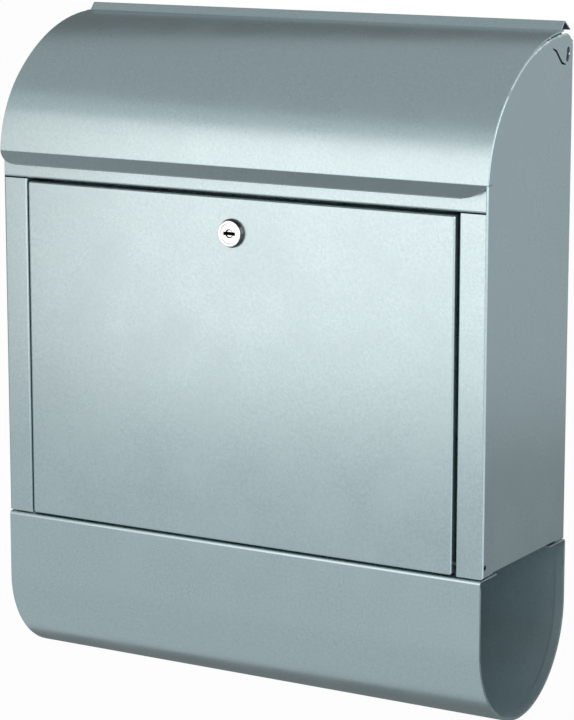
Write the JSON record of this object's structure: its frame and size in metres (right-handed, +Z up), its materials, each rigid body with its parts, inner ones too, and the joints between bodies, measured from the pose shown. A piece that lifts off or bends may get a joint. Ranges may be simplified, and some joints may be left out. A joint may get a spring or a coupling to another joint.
{
  "type": "wall mounted mailbox",
  "caption": "Wall mounted sheet-metal mailbox with a curved lifting lid, a lockable drop-down front door and an open newspaper tube below.",
  "frame": {"origin": "centre of the four wall-screw holes, on the wall plane", "axes": "+X to the right seen from the front, +Y into the wall, +Z up"},
  "size_m": [0.384, 0.1382, 0.4699],
  "materials": {
    "silver_coat": "satin metallic silver powder coat",
    "zinc_steel": "zinc plated",
    "dark_steel": "black phosphated",
    "lock_chrome": "polished chrome",
    "plug_steel": "satin nickel"
  },
  "bodies": {
    "box": {"back_panel": "silver_coat", "side_panel_right": "silver_coat", "side_panel_left": "silver_coat", "front_fascia": "silver_coat", "floor_panel": "silver_coat", "newspaper_tube": "silver_coat", "tube_screws": "zinc_steel", "tube_nuts": "zinc_steel", "door_hinge_rod": "dark_steel", "rod_clips": "dark_steel"},
    "door": {"door_panel": "silver_coat", "lock_housing": "lock_chrome", "lock_nut": "zinc_steel"},
    "lock": {"lock_plug": "plug_steel", "lock_cam": "zinc_steel", "cam_washer": "zinc_steel", "cam_screw": "zinc_steel"},
    "lid": {"lid_panel": "silver_coat", "lid_ear_right": "silver_coat", "lid_ear_left": "silver_coat", "lid_pin_right": "zinc_steel", "lid_pin_left": "zinc_steel"}
  },
  "joints": [
    {"name": "door_hinge", "type": "hinge", "parent": "box", "child": "door", "pos_m": [0, -0.1265, -0.1624], "axis": [1, 0, 0], "range_deg": [0, 105]},
    {"name": "lock_turn", "type": "hinge", "parent": "door", "child": "lock", "pos_m": [0, -0.13, 0.046], "axis": [0, -1, 0], "range_deg": [0, 90]},
    {"name": "lid_hinge", "type": "hinge", "parent": "box", "child": "lid", "pos_m": [0, -0.0101, 0.166], "axis": [-1, 0, 0], "range_deg": [0, 22]}
  ]
}
